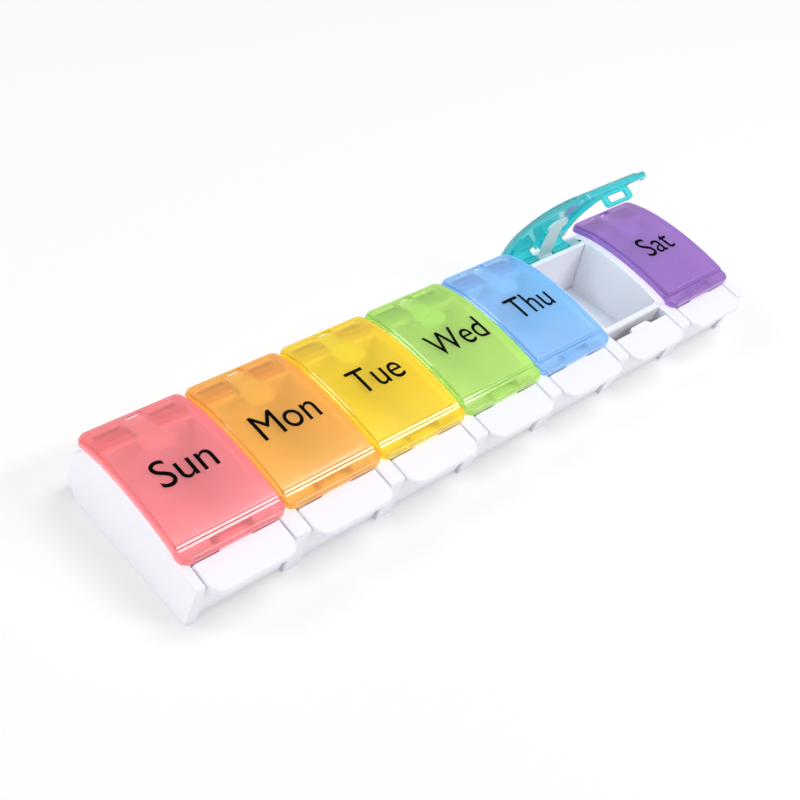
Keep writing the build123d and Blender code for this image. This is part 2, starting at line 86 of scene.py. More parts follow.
def edit(piece):
    """Starts edit mode on one piece with nothing selected."""
    if bpy.context.mode != "OBJECT":
        bpy.ops.object.mode_set(mode="OBJECT")
    take(piece)
    bpy.ops.object.mode_set(mode="EDIT")
    bpy.ops.mesh.select_mode(type="VERT")
    bpy.ops.mesh.select_all(action="DESELECT")


def done():
    """Leaves edit mode with the faces pointing outwards."""
    bpy.ops.mesh.select_all(action="SELECT")
    bpy.ops.mesh.normals_make_consistent(inside=False)
    bpy.ops.object.mode_set(mode="OBJECT")


def pick_edges(piece, wanted):
    """Selects the edges for which wanted(end, end) holds, ends in millimetres, in edit mode."""
    edit(piece)
    bpy.ops.mesh.select_mode(type="EDGE")
    bpy.ops.object.mode_set(mode="OBJECT")
    for edge in piece.data.edges:
        a, b = (piece.data.vertices[i].co / MM for i in edge.vertices)
        edge.select = wanted(a, b)
    bpy.ops.object.mode_set(mode="EDIT")


def pick_points(piece, wanted):
    """Selects the points for which wanted(place) holds, in millimetres, in edit mode."""
    edit(piece)
    bpy.ops.object.mode_set(mode="OBJECT")
    for vertex in piece.data.vertices:
        vertex.select = wanted(vertex.co / MM)
    bpy.ops.object.mode_set(mode="EDIT")


def settle(name):
    """Names the piece just added and moves its place into its mesh."""
    piece = bpy.context.object
    piece.name = piece.data.name = name
    bpy.ops.object.transform_apply()
    return piece


def slab(name, outline, start, end):
    """Draws an outline in the YZ plane point by point and pulls it along X."""
    bpy.ops.object.select_all(action="DESELECT")
    y, z = outline[0]
    bpy.ops.mesh.primitive_plane_add(size=MM, location=(start * MM, y * MM, z * MM))
    piece = settle(name)
    edit(piece)
    bpy.ops.mesh.select_all(action="SELECT")
    bpy.ops.mesh.merge(type="CENTER")
    for (y0, z0), (y1, z1) in zip(outline, outline[1:]):
        step = (0, (y1 - y0) * MM, (z1 - z0) * MM)
        bpy.ops.mesh.extrude_region_move(TRANSFORM_OT_translate={"value": step})
    bpy.ops.mesh.select_all(action="SELECT")
    bpy.ops.mesh.edge_face_add()
    pull = ((end - start) * MM, 0, 0)
    bpy.ops.mesh.extrude_region_move(TRANSFORM_OT_translate={"value": pull})
    done()
    return piece


def block(name, low, high, corner=0, along=2, segments=6):
    """A block between two corners, its four edges along one axis rounded if asked."""
    bpy.ops.object.select_all(action="DESELECT")
    size = [(b - a) * MM for a, b in zip(low, high)]
    middle = [(a + b) / 2 * MM for a, b in zip(low, high)]
    bpy.ops.mesh.primitive_cube_add(size=1, location=middle, scale=size)
    piece = settle(name)
    if corner:
        pick_edges(piece, lambda a, b: abs((a - b)[along]) > 1e-6)
        bpy.ops.mesh.bevel(offset=corner * MM, segments=segments)
        done()
    return piece


def bar(name, radius, start, end, y, z, sides=40):
    """A round bar along X."""
    bpy.ops.object.select_all(action="DESELECT")
    place = ((start + end) / 2 * MM, y * MM, z * MM)
    bpy.ops.mesh.primitive_cylinder_add(
        vertices=sides, radius=radius * MM, depth=(end - start) * MM,
        location=place, rotation=(0, pi / 2, 0))
    return settle(name)


def apply_modifier(piece, kind, **values):
    """Adds one modifier to a piece and applies it."""
    take(piece)
    modifier = piece.modifiers.new(kind.lower(), kind)
    for key, value in values.items():
        setattr(modifier, key, value)
    bpy.ops.object.modifier_apply(modifier=modifier.name)
    return piece


def combine(piece, other, how):
    """UNION, DIFFERENCE or INTERSECT of two closed pieces. The other one is used up."""
    apply_modifier(piece, "BOOLEAN", operation=how, object=other, solver="EXACT")
    bpy.data.objects.remove(other)
    return piece


def smooth(piece, angle=35):
    """Smooth shading that keeps flat faces flat."""
    take(piece)
    bpy.ops.object.shade_smooth_by_angle(angle=radians(angle))
    return apply_modifier(piece, "WEIGHTED_NORMAL", keep_sharp=True, weight=60)


def copy_of(piece, name, place=Matrix.Identity(4)):
    """A copy with a mesh of its own, moved in its mesh."""
    twin = piece.copy()
    twin.data = piece.data.copy()
    twin.name = twin.data.name = name
    twin.data.transform(place)
    bpy.context.scene.collection.objects.link(twin)
    return twin


def over_its_day(day):
    """Moves a lid's piece from the middle of the row to its day, Friday's turned open."""
    hinge = Vector((0, HINGE_Y, HINGE_Z)) * MM
    turn = Matrix.Rotation(radians(-OPEN_ANGLE if day == OPEN_DAY else 0), 4, "X")
    shift = Matrix.Translation(Vector((CENTRE[day] * MM, 0, 0)))
    return shift @ Matrix.Translation(hinge) @ turn @ Matrix.Translation(-hinge)


# ---------------------------------------------------------------- finishes

def material(name):
    """A new material and its shader."""
    finish = bpy.data.materials.new(name)
    finish.use_nodes = True
    return finish, finish.node_tree, finish.node_tree.nodes["Principled BSDF"]


def moulding_group():
    """Moulded plastic's surface: faint flow mottle, uneven gloss and a fine grain."""
    group = bpy.data.node_groups.new("moulded_surface", "ShaderNodeTree")
    face = group.interface
    for label, value in (("Mottle Scale", 90.0), ("Roughness", 0.3), ("Uneven", 0.06),
                         ("Grain", 0.1)):
        socket = face.new_socket(label, in_out="INPUT", socket_type="NodeSocketFloat")
        socket.default_value = value
    face.new_socket("Mottle", in_out="OUTPUT", socket_type="NodeSocketFloat")
    face.new_socket("Roughness", in_out="OUTPUT", socket_type="NodeSocketFloat")
    face.new_socket("Normal", in_out="OUTPUT", socket_type="NodeSocketVector")
    add, link = group.nodes.new, group.links.new
    inside, outside = add("NodeGroupInput"), add("NodeGroupOutput")
    place = add("ShaderNodeTexCoord")
    flow = add("ShaderNodeTexNoise")
    flow.inputs["Detail"].default_value = 3
    link(place.outputs["Object"], flow.inputs["Vector"])
    link(inside.outputs["Mottle Scale"], flow.inputs["Scale"])
    link(flow.outputs["Fac"], outside.inputs["Mottle"])
    uneven = add("ShaderNodeMath")
    uneven.operation = "MULTIPLY_ADD"
    link(flow.outputs["Fac"], uneven.inputs[0])
    link(inside.outputs["Uneven"], uneven.inputs[1])
    link(inside.outputs["Roughness"], uneven.inputs[2])
    link(uneven.outputs[0], outside.inputs["Roughness"])
    grain = add("ShaderNodeTexNoise")
    grain.inputs["Scale"].default_value = 2600
    grain.inputs["Detail"].default_value = 2
    link(place.outputs["Object"], grain.inputs["Vector"])
    bump = add("ShaderNodeBump")
    bump.inputs["Distance"].default_value = 0.02 * MM
    link(inside.outputs["Grain"], bump.inputs["Strength"])
    link(grain.outputs["Fac"], bump.inputs["Height"])
    link(bump.outputs["Normal"], outside.inputs["Normal"])
    return group


SURFACE = moulding_group()


def moulded(name, main, second, roughness, uneven=0.06, grain=0.1, scale=90.0):
    """A moulded or drawn surface that wanders between two close colours."""
    finish, tree, shader = material(name)
    surface = tree.nodes.new("ShaderNodeGroup")
    surface.node_tree = SURFACE
    for label, value in (("Mottle Scale", scale), ("Roughness", roughness),
                         ("Uneven", uneven), ("Grain", grain)):
        surface.inputs[label].default_value = value
    tint = tree.nodes.new("ShaderNodeMix")
    tint.data_type = "RGBA"
    tint.inputs["A"].default_value = (*main, 1)
    tint.inputs["B"].default_value = (*second, 1)
    tree.links.new(surface.outputs["Mottle"], tint.inputs["Factor"])
    tree.links.new(tint.outputs["Result"], shader.inputs["Base Color"])
    tree.links.new(surface.outputs["Roughness"], shader.inputs["Roughness"])
    tree.links.new(surface.outputs["Normal"], shader.inputs["Normal"])
    return finish, tree, shader


def dress(piece, finish):
    """Gives a piece one finish."""
    piece.data.materials.clear()
    piece.data.materials.append(finish)


white_plastic, _, white_shader = moulded(
    "white_plastic", (0.92, 0.91, 0.985), (0.94, 0.93, 0.99), 0.36)
white_shader.inputs["Specular IOR Level"].default_value = 0.4

# For each day: the milky surface, its deeper swirls, and the dye that thick places show
LID_COLOURS = {
    "sun": ((1.0, 0.42, 0.45), (1.0, 0.37, 0.40), (1.0, 0.12, 0.15)),
    "mon": ((1.0, 0.66, 0.13), (1.0, 0.60, 0.10), (1.0, 0.54, 0.02)),
    "tue": ((1.0, 0.83, 0.03), (1.0, 0.79, 0.02), (1.0, 0.86, 0.00)),
    "wed": ((0.66, 0.88, 0.28), (0.61, 0.85, 0.25), (0.70, 0.98, 0.10)),
    "thu": ((0.44, 0.72, 1.0), (0.39, 0.69, 1.0), (0.56, 0.84, 1.0)),
    "fri": ((0.10, 0.84, 0.86), (0.06, 0.79, 0.82), (0.0, 0.86, 0.90)),
    "sat": ((0.53, 0.30, 0.74), (0.48, 0.26, 0.71), (0.74, 0.42, 0.90)),
}
DYE_DENSITY = 240.0
PLASTIC_IOR = 1.46


def translucent(day):
    """Dyed clear plastic with some milk in it, under a polished skin."""
    light, deep, dye = LID_COLOURS[day]
    finish, tree, shader = moulded(f"lid_{day}_plastic", light, deep, 0.19, grain=0.02)
    for socket, value in (("Transmission Weight", 0.66), ("Specular IOR Level", 0.35),
                          ("IOR", PLASTIC_IOR), ("Coat Weight", 0.7), ("Coat Roughness", 0.05)):
        shader.inputs[socket].default_value = value
    thickness = tree.nodes.new("ShaderNodeVolumeAbsorption")
    thickness.inputs["Color"].default_value = (*dye, 1)
    thickness.inputs["Density"].default_value = DYE_DENSITY
    tree.links.new(thickness.outputs["Volume"], tree.nodes["Material Output"].inputs["Volume"])
    return finish


lid_plastic = {day: translucent(day) for day in DAYS}

leaf_plastic, _, leaf_shader = moulded(
    "leaf_plastic", (0.80, 0.99, 1.0), (0.86, 1.0, 1.0), 0.35)
leaf_shader.inputs["Transmission Weight"].default_value = 0.2
leaf_shader.inputs["IOR"].default_value = PLASTIC_IOR
rod_steel, _, rod_shader = moulded(
    "rod_steel", (0.55, 0.56, 0.58), (0.62, 0.63, 0.65), 0.28, 0.12, 0.3, 400)
rod_shader.inputs["Metallic"].default_value = 1.0
spring_steel, _, spring_shader = moulded(
    "spring_steel", (0.50, 0.51, 0.53), (0.60, 0.61, 0.63), 0.22, 0.12, 0.2, 700)
spring_shader.inputs["Metallic"].default_value = 1.0
mark_ink, _, ink_shader = moulded(
    "mark_ink", (0.001, 0.001, 0.001), (0.003, 0.003, 0.003), 0.6)
ink_shader.inputs["Specular IOR Level"].default_value = 0.02


# ---------------------------------------------------------------- tray and rail

def rounded_copy(node, name, left_sharp):
    """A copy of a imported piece, merged, with its visible edges rounded."""
    piece = copy_of(nodes[node], name)
    piece.parent = None
    for key in list(piece.keys()):
        del piece[key]
    edit(piece)
    bpy.ops.mesh.select_all(action="SELECT")
    bpy.ops.mesh.remove_doubles(threshold=0.002 * MM)
    bpy.ops.mesh.dissolve_limited(angle_limit=radians(1))
    done()
    edit(piece)
    bpy.ops.mesh.select_mode(type="EDGE")
    bpy.ops.mesh.edges_select_sharp(sharpness=radians(45))
    bpy.ops.object.mode_set(mode="OBJECT")
    for edge in piece.data.edges:
        a, b = (piece.data.vertices[i].co / MM for i in edge.vertices)
        edge.select = edge.select and not left_sharp(a, b)
    bpy.ops.object.mode_set(mode="EDIT")
    bpy.ops.mesh.bevel(offset=EDGE_ROUND * MM, segments=3, loop_slide=False)
    done()
    return smooth(piece, 30)


def round_about(point, y, z, radius):
    """Whether a point lies within a radius of a line along X."""
    return (point.y - y) ** 2 + (point.z - z) ** 2 < radius ** 2


EDGE_ROUND = 0.4
TRAY_UNDERSIDE = 1.0
PIVOT_Y, PIVOT_Z = -19.0, 5.0


def hidden_in_tray(a, b):
    """The tray's edges that stay sharp, from end a to end b."""
    under = min(a.z, b.z) < TRAY_UNDERSIDE or (a.z < 3.1 and b.z < 3.1 and a.y > -16.5)
    bores = round_about(a, PIVOT_Y, PIVOT_Z, 2.0) or round_about(a, HINGE_Y, HINGE_Z, 1.6)
    pegs = -23.5 < a.y < -16.9 and abs(a.z - b.z) < 9 and 7.0 < a.z < 10.5
    front_wall = any(-15.9 < p.y < -14.3 and p.z > 17.5 and abs(p.x) < 110 for p in (a, b))
    return under or bores or pegs or front_wall


def hidden_in_rail(a, b):
    """The rail's edges that stay sharp: under it, in the rod's bore, at the seam, short ones."""
    seam = a.y < 16.9 and b.y < 16.9
    short = (a.z - b.z) ** 2 + (a - b).length ** 2 < 0.3
    return min(a.z, b.z) < TRAY_UNDERSIDE or round_about(a, HINGE_Y, HINGE_Z, 1.6) or seam or short


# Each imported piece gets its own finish. The buttons and the rod are shown as they are.
for name, node in nodes.items():
    kind, _, day = name.rpartition("_")
    dress(node, {"lid": lid_plastic.get(day), "leaf_spring": leaf_plastic,
                 "button_spring": spring_steel}.get(kind) or white_plastic)
dress(nodes["hinge_rod"], rod_steel)

for name, left_sharp in (("base_tray", hidden_in_tray), ("rear_rail", hidden_in_rail)):
    piece = rounded_copy(name, f"{name}_body", left_sharp)
    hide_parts(name)
    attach(piece, "base")


# ---------------------------------------------------------------- button springs

SPRING_Y, SPRING_LOW, SPRING_HIGH = -21.06, 8.7, 14.99
COIL_RADIUS, WIRE_RADIUS, COIL_TURNS = 1.35, 0.25, 6


def make_spring():
    """One steel coil over the middle of the row, with its ends closed."""
    bpy.ops.object.select_all(action="DESELECT")
    start = (COIL_RADIUS * MM, SPRING_Y * MM, (SPRING_LOW + WIRE_RADIUS) * MM)
    bpy.ops.mesh.primitive_circle_add(
        vertices=12, radius=WIRE_RADIUS * MM, location=start, rotation=(pi / 2, 0, 0))
    spring = settle("spring")
    spring.data.transform(Matrix.Translation((0, -SPRING_Y * MM, 0)))
    rise = (SPRING_HIGH - SPRING_LOW - 2.6 * WIRE_RADIUS) / COIL_TURNS
    apply_modifier(spring, "SCREW", axis="Z", angle=2 * pi, screw_offset=rise * MM,
                   iterations=COIL_TURNS, steps=28, render_steps=28, use_merge_vertices=False)
    spring.data.transform(Matrix.Translation((0, SPRING_Y * MM, 0)))
    edit(spring)
    bpy.ops.mesh.select_mode(type="EDGE")
    bpy.ops.mesh.select_non_manifold()
    bpy.ops.mesh.fill_holes(sides=12)
    done()
    return smooth(spring, 50)


spring = make_spring()
for day in DAYS:
    coil = copy_of(spring, f"button_coil_{day}", Matrix.Translation((CENTRE[day] * MM, 0, 0)))
    dress(coil, spring_steel)
    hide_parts(f"button_spring_{day}")
    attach(coil, "base")
    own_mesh(coil)
bpy.data.objects.remove(spring)


# ---------------------------------------------------------------- leaf springs

# Thickness, half widths and the radius of the eye, then the places of a resting leaf
LEAF = 0.75
LEAF_HEAD, LEAF_TIP, LEAF_NECK, LEAF_EYE = 4.4, 2.7, 3.1, 1.9
LEAF_REACH, LEAF_SHOULDER, LEAF_BEND, LEAF_DROP = 9.4, 17.4, 18.2, 1.6
ROD_BORE = 1.05

# The line that the released leaf stands along, in Y and Z, and the pin hole through it
LEAF_SPINE = [(22.35, 17.0), (22.1, 20.1), (21.6, 25.0), (21.0, 28.5), (20.5, 30.8), (19.95, 33.0)]
LEAF_TOP, LEAF_TOP_SHOULDER, LEAF_FOOT = 33.1, 28.2, 16
LEAF_PIN, LEAF_PIN_RADIUS = (-0.9, 21.9, 22.8), 0.28


def bend_line(drop, y_back):
    """The arc that takes the leaf from under the lid down behind the rod."""
    y, z = LEAF_BEND, arch(LEAF_BEND, drop)
    slope = -(y - APEX_Y) / sqrt((REAR_RADIUS - drop) ** 2 - (y - APEX_Y) ** 2)
    normal = Vector((slope, -1)).normalized()
    gap = Vector((y - y_back, z - HINGE_Z))
    radius = -gap.length_squared / (2 * gap.dot(normal))
    middle = Vector((y, z)) + normal * radius
    start = Vector((y, z)) - middle
    turn = start.angle_signed(Vector((y_back, HINGE_Z)) - middle)
    steps = 12
    spokes = [Matrix.Rotation(-turn * step / steps, 2) @ start for step in range(steps + 1)]
    return [(middle.x + spoke.x, middle.y + spoke.y) for spoke in spokes]


def leaf_plan(front, shoulder, back, along):
    """A leaf's outline as a block pulled along Z (2) or Y (1): chamfered head, narrower neck."""
    if along == 2:
        head = block("head", (-LEAF_HEAD, front, 0), (LEAF_HEAD, shoulder, 40))
        neck = block("neck", (-LEAF_NECK, front + 3, 0), (LEAF_NECK, back, 40))
    else:
        head = block("head", (-LEAF_HEAD, 0, shoulder), (LEAF_HEAD, 40, front))
        neck = block("neck", (-LEAF_NECK, 0, back), (LEAF_NECK, 40, front - 3))
    pick_edges(head, lambda a, b: abs((a - b)[along]) > 1e-6)
    bpy.ops.mesh.bevel(offset=(LEAF_HEAD - LEAF_TIP) * MM, segments=1)
    done()
    return combine(head, neck, "UNION")


def add_eye(leaf):
    """The ring that sits on the rod."""
    combine(leaf, bar("eye", LEAF_EYE, -LEAF_NECK, LEAF_NECK, HINGE_Y, HINGE_Z, 36), "UNION")
    return combine(leaf, bar("bore", ROD_BORE, -8, 8, HINGE_Y, HINGE_Z, 36), "DIFFERENCE")


def resting_leaf():
    """A leaf bent flat under its closed lid."""
    outline = arch_line(LEAF_REACH, LEAF_BEND, LEAF_DROP)[:-1]
    outline += bend_line(LEAF_DROP, HINGE_Y + LEAF_EYE)
    outline += bend_line(LEAF_DROP + LEAF, HINGE_Y + LEAF_EYE - LEAF)[::-1]
    outline += arch_line(LEAF_BEND, LEAF_REACH, LEAF_DROP + LEAF)[1:]
    leaf = slab("leaf", outline, -6, 6)
    combine(leaf, leaf_plan(LEAF_REACH, LEAF_SHOULDER, 30, 2), "INTERSECT")
    return add_eye(leaf)


def released_leaf():
    """Friday's leaf, sprung straight up from the rod, with a pin hole near its foot."""
    outline = [(y - LEAF / 2, z) for y, z in LEAF_SPINE]
    outline += [(y + LEAF / 2, z) for y, z in LEAF_SPINE[::-1]]
    leaf = slab("leaf", outline, -6, 6)
    combine(leaf, leaf_plan(LEAF_TOP, LEAF_TOP_SHOULDER, LEAF_FOOT, 1), "INTERSECT")
    bpy.ops.object.select_all(action="DESELECT")
    bpy.ops.mesh.primitive_cylinder_add(
        vertices=16, radius=LEAF_PIN_RADIUS * MM, depth=4 * MM, rotation=(pi / 2, 0, 0),
        location=Vector(LEAF_PIN) * MM)
    combine(leaf, settle("pin"), "DIFFERENCE")
    return add_eye(leaf)


resting, released = resting_leaf(), released_leaf()
for day in DAYS:
    shift = Matrix.Translation((CENTRE[day] * MM, 0, 0))
    leaf = copy_of(released if day == OPEN_DAY else resting, f"leaf_{day}", shift)
    smooth(leaf, 30)
    dress(leaf, leaf_plastic)
    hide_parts(f"leaf_spring_{day}")
    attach(leaf, f"leaf_spring_{day}")
bpy.data.objects.remove(resting)
bpy.data.objects.remove(released)


# ---------------------------------------------------------------- lids

# Half width, corners, and the places of lip and panel from front to back
LID_HALF, LID_CORNER = 15.55, 2.6
LIP_FRONT, LIP_END, PANEL_FRONT, LID_BACK = -20.5, -17.25, -16.5, 26.0
LIP_BOTTOM, LIP_TOP, LIP_SLOPE = 17.4, 19.4, 0.135

# Depths under the arch, and the wall of the skirt
PANEL_INSET, PANEL_THICKNESS = 0.6, 1.3
FLANGE_DROP, SKIRT_DROP, SKIRT = 0.8, 2.4, 1.2

# The slanted edges across the front: place, height and distance from the lid's side
FRONT_EDGES = (("step", -16.4, 20.82, 0.85), ("bead", -17.1, 20.18, 0.8))
EDGE_DEPTH, EDGE_FALL, EDGE_FOOT = 0.45, 0.38, 18.9

# The window over the leaf's bend, with an opening behind it under the rear rim
WINDOW_HALF, WINDOW_FRONT, WINDOW_BACK = 2.6, 23.3, 25.0
OPENING_BOTTOM, OPENING_TOP = 19, 21.3

# Pads over the hinge, with their knuckles and webs
PAD_HALF, PAD_MIDDLE, PAD_FRONT, PAD_BACK, PAD_DROP = 4.7, 8.2, 18.6, 25.1, 3.0
KNUCKLE_RADIUS, KNUCKLE_INNER, KNUCKLE_OUTER = 2.18, 3.9, 12.1
WEB_HALF, WEB_TOP = 0.9, 22.4
HEEL_REACH, HEEL_RISE = 0.8, 4.3

# Latch loop: half width, front, back, bottom, top, then its slot and its two roots
LOOP_HALF, LOOP_FRONT, LOOP_BACK, LOOP_BOTTOM, LOOP_TOP = 6.15, -18.35, -17.25, 13.4, 19.15
SLOT_HALF, SLOT_BOTTOM, SLOT_TOP = 4.15, 14.5, 16.85
ROOT_INNER, ROOT_OUTER, ROOT_FRONT, ROOT_BACK = 4.1, 6.2, -19.5, -17.3


def lid_plate(name, half, y_front, y_back, bottom, top, front_corner=0, back_corner=0, rim=0):
    """A plate that follows the lid's arch, its rim chamfered. Heights count from the arch."""
    piece = block(name, (-half, y_front, bottom), (half, y_back, top))
    for place, radius in ((y_front, front_corner), (y_back, back_corner)):
        if radius:
            pick_edges(piece, lambda a, b: abs(a.z - b.z) > 0.01 and abs(a.y - place) < 0.01)
            bpy.ops.mesh.bevel(offset=radius * MM, segments=8)
            done()
    if rim:
        pick_edges(piece, lambda a, b: min(a.z, b.z) > top - 0.01)
        bpy.ops.mesh.bevel(offset=rim * MM, segments=1)
        done()
    return follow_arch(piece, y_front, y_back)


def follow_arch(piece, y_front, y_back):
    """Cuts a piece across at even steps and lifts each row of points on to the lid's arch."""
    edit(piece)
    steps = max(2, round((y_back - y_front) / 1.6))
    for step in range(1, steps):
        bpy.ops.mesh.select_all(action="SELECT")
        place = (y_front + (y_back - y_front) * step / steps) * MM
        bpy.ops.mesh.bisect(plane_co=(0, place, 0), plane_no=(0, 1, 0))
    bpy.ops.object.mode_set(mode="OBJECT")
    # Points closer than 0.004 count as one row, so that none is lifted twice
    rows = [-100.0]
    for place in sorted({round(v.co.y / MM, 3) for v in piece.data.vertices}):
        if place - rows[-1] > 0.004:
            rows.append(place)
    for row in rows[1:]:
        pick_points(piece, lambda p: -0.001 < p.y - row < 0.0042)
        bpy.ops.transform.translate(value=(0, 0, arch(row, 0) * MM))
    done()
    return piece


def make_lip():
    """The front lip, which slopes down from the panel, slanted under its rear end."""
    lip = block("lip", (-LID_HALF, LIP_FRONT, LIP_BOTTOM), (LID_HALF, -10, LIP_TOP), LID_CORNER)
    pick_edges(lip, lambda a, b: min(a.z, b.z) > LIP_TOP - 0.01)
    bpy.ops.mesh.bevel(offset=0.5 * MM, segments=4)
    pick_edges(lip, lambda a, b: max(a.z, b.z) < LIP_BOTTOM + 0.01)
    bpy.ops.mesh.bevel(offset=0.25 * MM, segments=2)
    done()
    combine(lip, block("end", (-20, PANEL_FRONT + 0.4, 0), (20, 0, 40)), "DIFFERENCE")
    for row in sorted({round(v.co.y / MM, 3) for v in lip.data.vertices}):
        pick_points(lip, lambda p: abs(p.y - row) < 0.001 and p.z > LIP_BOTTOM + 1)
        bpy.ops.transform.translate(value=(0, 0, (row - LIP_FRONT) * LIP_SLOPE * MM))
    done()
    behind = PANEL_FRONT + 1
    under = slab("under", [
        (LIP_END, LIP_BOTTOM - 1), (LIP_END, LIP_BOTTOM),
        (PANEL_FRONT, arch(PANEL_FRONT, SKIRT_DROP)), (behind, arch(behind, SKIRT_DROP)),
        (behind, LIP_BOTTOM - 1)], -20, 20)
    return combine(lip, under, "DIFFERENCE")


def add_front_edges(lid):
    """Two slanted edges across the front: the panel's step, and a low bead ahead of it."""
    for name, y, top, inset in FRONT_EDGES:
        front = y - EDGE_DEPTH
        outline = [(y, EDGE_FOOT), (y, top), (front, top - EDGE_FALL), (front, EDGE_FOOT)]
        combine(lid, slab(name, outline, inset - LID_HALF, LID_HALF - inset), "UNION")


def hollow_out(lid):
    """Clears the room under the panel and the lip, and cuts the heel short."""
    inside = LID_HALF - SKIRT
    hollow = lid_plate("hollow", inside, PANEL_FRONT + SKIRT, LID_BACK - SKIRT,
                       -7, -PANEL_THICKNESS, 0.6, 1.5)
    combine(lid, hollow, "DIFFERENCE")
    front = LIP_FRONT + SKIRT
    lip_hollow = slab("lip_hollow", [
        (front, LIP_BOTTOM - 1), (front, LIP_TOP - 1.0), (PANEL_FRONT, LIP_TOP - 0.4),
        (PANEL_FRONT, LIP_BOTTOM - 1)], -inside, inside)
    combine(lid, lip_hollow, "DIFFERENCE")
    heel = block("heel", (-20, HINGE_Y + HEEL_REACH, 0), (20, 40, HINGE_Z + HEEL_RISE))
    combine(lid, heel, "DIFFERENCE")


def cut_window(lid):
    """The window over the bend of the leaf, and the opening behind it."""
    window = block("window", (-WINDOW_HALF, WINDOW_FRONT, 0), (WINDOW_HALF, WINDOW_BACK, 40), 0.3)
    combine(lid, window, "DIFFERENCE")
    behind = block("behind", (-WINDOW_HALF, WINDOW_BACK - 1, OPENING_BOTTOM),
                   (WINDOW_HALF, 40, OPENING_TOP))
    combine(lid, behind, "DIFFERENCE")


def add_hinge(lid):
    """Thick pads over the hinge, each with a web and a knuckle bored for the rod."""
    for side in (-1, 1):
        pad = lid_plate("pad", PAD_HALF, PAD_FRONT, PAD_BACK, -PAD_DROP, -0.6)
        pad.data.transform(Matrix.Translation((side * PAD_MIDDLE * MM, 0, 0)))
        combine(lid, pad, "UNION")
        low, high = sorted((side * KNUCKLE_INNER, side * KNUCKLE_OUTER))
        knuckle = bar("knuckle", KNUCKLE_RADIUS, low, high, HINGE_Y, HINGE_Z)
        web = block("web", (low, HINGE_Y - WEB_HALF, HINGE_Z), (high, HINGE_Y + WEB_HALF, WEB_TOP))
        combine(knuckle, web, "UNION")
        combine(lid, knuckle, "UNION")
    combine(lid, bar("bore", ROD_BORE, -20, 20, HINGE_Y, HINGE_Z, 36), "DIFFERENCE")


def add_latch_loop(lid):
    """The latch loop under the lip, its legs rooted in two blocks."""
    for side in (-1, 1):
        low, high = sorted((side * ROOT_INNER, side * ROOT_OUTER))
        root = block("root", (low, ROOT_FRONT, LIP_BOTTOM + 0.05), (high, ROOT_BACK, 19.1))
        combine(lid, root, "UNION")
    loop = block("loop", (-LOOP_HALF, LOOP_FRONT, LOOP_BOTTOM),
                 (LOOP_HALF, LOOP_BACK, LOOP_TOP + 2.05), 1.2, along=1, segments=4)
    combine(loop, block("top", (-9, -19, LOOP_TOP), (9, -16, 30)), "DIFFERENCE")
    slot = block("slot", (-SLOT_HALF, -20, SLOT_BOTTOM), (SLOT_HALF, -16, SLOT_TOP),
                 0.5, along=1, segments=3)
    combine(loop, slot, "DIFFERENCE")
    combine(lid, loop, "UNION")


def make_lid():
    """One lid, closed over the middle of the row: flange, panel, lip, loop, pads, knuckles."""
    lid = lid_plate("lid", LID_HALF, PANEL_FRONT, LID_BACK, -SKIRT_DROP, -FLANGE_DROP,
                    back_corner=LID_CORNER, rim=0.25)
    combine(lid, make_lip(), "UNION")
    panel = lid_plate("panel", LID_HALF - PANEL_INSET, PANEL_FRONT, LID_BACK - 0.05,
                      -PANEL_THICKNESS, 0, front_corner=0.4, back_corner=2.2, rim=0.35)
    combine(lid, panel, "UNION")
    add_front_edges(lid)
    hollow_out(lid)
    cut_window(lid)
    add_hinge(lid)
    add_latch_loop(lid)

    # Close any sliver left where pieces meet edge to edge
    edit(lid)
    bpy.ops.mesh.select_mode(type="EDGE")
    bpy.ops.mesh.select_non_manifold()
    bpy.ops.mesh.fill_holes(sides=6)
    done()
    return smooth(lid)


lid = make_lid()
for day in DAYS:
    day_lid = copy_of(lid, f"lid_{day}_shell", over_its_day(day))
    dress(day_lid, lid_plastic[day])
    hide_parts(f"lid_{day}")
    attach(day_lid, f"lid_{day}")
    day_lid.visible_shadow = False  # light reaches the wells through the clear plastic


# ---------------------------------------------------------------- day marks

MARK_BASELINE, MARK_HEIGHT, MARK_LIFT = -2.1, 8.5, 0.03
MARK_WIDTH = {"sun": 0.98, "mon": 0.89, "tue": 0.87, "wed": 0.84, "thu": 0.86, "fri": 0.90,
              "sat": 0.97}
MARK_ROWS, MARK_ROW_STEP = 12, 0.8


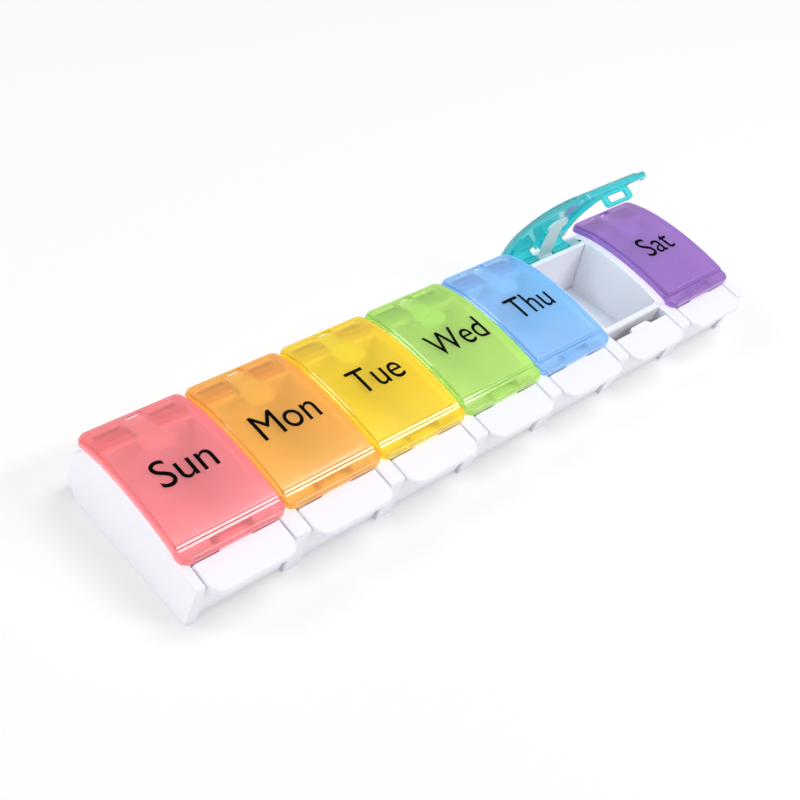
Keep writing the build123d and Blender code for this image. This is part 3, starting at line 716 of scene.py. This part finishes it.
def day_mark(day):
    """The day's short name, a thin layer of black ink laid on the lid's arch."""
    bpy.ops.object.select_all(action="DESELECT")
    bpy.ops.object.text_add()
    mark = bpy.context.object
    mark.data.body = day.capitalize()
    mark.data.resolution_u = 5
    mark.data.size = 11 * MM
    bpy.ops.object.convert(target="MESH")
    mark = bpy.context.object
    mark.name = mark.data.name = f"mark_{day}"
    edit(mark)
    bpy.ops.mesh.select_all(action="SELECT")
    bpy.ops.mesh.remove_doubles(threshold=0.001 * MM)
    bpy.ops.object.mode_set(mode="OBJECT")
    points = [v.co for v in mark.data.vertices]
    middle = (min(p.x for p in points) + max(p.x for p in points)) / 2
    scale = MARK_HEIGHT * MM / max(p.y for p in points)
    mark.scale = (scale * MARK_WIDTH[day], scale, 1)
    mark.location = (-middle * scale * MARK_WIDTH[day], MARK_BASELINE * MM, 30 * MM)
    bpy.ops.object.transform_apply()
    edit(mark)
    for cut in range(1, MARK_ROWS):
        bpy.ops.mesh.select_all(action="SELECT")
        place = (MARK_BASELINE + cut * MARK_ROW_STEP) * MM
        bpy.ops.mesh.bisect(plane_co=(0, place, 0), plane_no=(0, 1, 0))
    bpy.ops.object.mode_set(mode="OBJECT")
    apply_modifier(
        mark, "SHRINKWRAP", target=lid, wrap_method="PROJECT", wrap_mode="ABOVE_SURFACE",
        use_project_z=True, use_negative_direction=True, use_positive_direction=False,
        offset=MARK_LIFT * MM)
    return apply_modifier(mark, "SOLIDIFY", thickness=MARK_LIFT * MM, offset=1)


for day in DAYS:
    mark = day_mark(day)
    mark.data.transform(over_its_day(day))
    dress(mark, mark_ink)
    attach(mark, f"lid_{day}")
bpy.data.objects.remove(lid)


# ---------------------------------------------------------------- floor, light, camera

FLOOR_GLOW = 0.32


def backdrop_finish():
    """White for the eye and in reflections, and still darkened by the object's shadow."""
    finish, tree, shader = material("backdrop")
    shader.inputs["Base Color"].default_value = (0.96, 0.96, 0.96, 1)
    shader.inputs["Roughness"].default_value = 0.9
    shader.inputs["Specular IOR Level"].default_value = 0.0
    add, link = tree.nodes.new, tree.links.new
    path, glow = add("ShaderNodeLightPath"), add("ShaderNodeEmission")
    blend = add("ShaderNodeMixShader")
    seen = path.outputs["Is Camera Ray"]
    for ray in ("Is Glossy Ray", "Is Transmission Ray"):
        either = add("ShaderNodeMath")
        either.operation = "MAXIMUM"
        link(seen, either.inputs[0])
        link(path.outputs[ray], either.inputs[1])
        seen = either.outputs[0]
    share = add("ShaderNodeMath")
    share.operation = "MULTIPLY"
    share.inputs[1].default_value = FLOOR_GLOW
    link(seen, share.inputs[0])
    link(share.outputs[0], blend.inputs["Fac"])
    link(shader.outputs["BSDF"], blend.inputs[1])
    link(glow.outputs["Emission"], blend.inputs[2])
    link(blend.outputs["Shader"], tree.nodes["Material Output"].inputs["Surface"])
    return finish


bpy.ops.object.select_all(action="DESELECT")
bpy.ops.mesh.primitive_plane_add(size=6)
floor = bpy.context.object
floor.name = "floor"
dress(floor, backdrop_finish())


def softbox(name, place, width, depth, power):
    """A soft lamp that faces the object, its width in the plane of the row of days."""
    lamp = bpy.data.lights.new(name, "AREA")
    lamp.shape = "RECTANGLE"
    lamp.size, lamp.size_y = width, depth
    lamp.energy = power
    piece = bpy.data.objects.new(name, lamp)
    bpy.context.scene.collection.objects.link(piece)
    away = Vector(place).normalized()
    along = (Vector((1, 0, 0)) - away.x * away).normalized()
    turn = Matrix((along, away.cross(along), away)).transposed().to_4x4()
    piece.matrix_world = Matrix.Translation(place) @ turn


# Places and sizes in metres, power in watts
softbox("key", (0.40, -0.14, 1.12), 0.5, 0.5, 4.5)
softbox("fill", (-0.95, 0.10, 0.16), 0.4, 0.4, 1.4)
softbox("front", (0.52, -0.76, 0.735), 0.50, 0.15, 3.0)
softbox("side", (-0.70, 0.47, 0.68), 0.30, 0.30, 1.8)

world = bpy.data.worlds.new("studio")
bpy.context.scene.world = world
world.use_nodes = True
sky = world.node_tree.nodes["Background"]
sky.inputs["Color"].default_value = (1, 1, 1, 1)
sky.inputs["Strength"].default_value = 0.50

# The camera stands where the photograph's was, solved from the seven equal days
view = bpy.data.cameras.new("camera")
view.lens = 54.0
view.sensor_width = 36.0
view.clip_start = 0.01
camera = bpy.data.objects.new("camera", view)
bpy.context.scene.collection.objects.link(camera)
camera.location = Vector((-220.58, -162.24, 235.27)) * MM
camera.rotation_euler = [radians(a) for a in (48.193, -9.502, -42.442)]
bpy.context.scene.camera = camera
bpy.context.scene.view_settings.view_transform = "Standard"
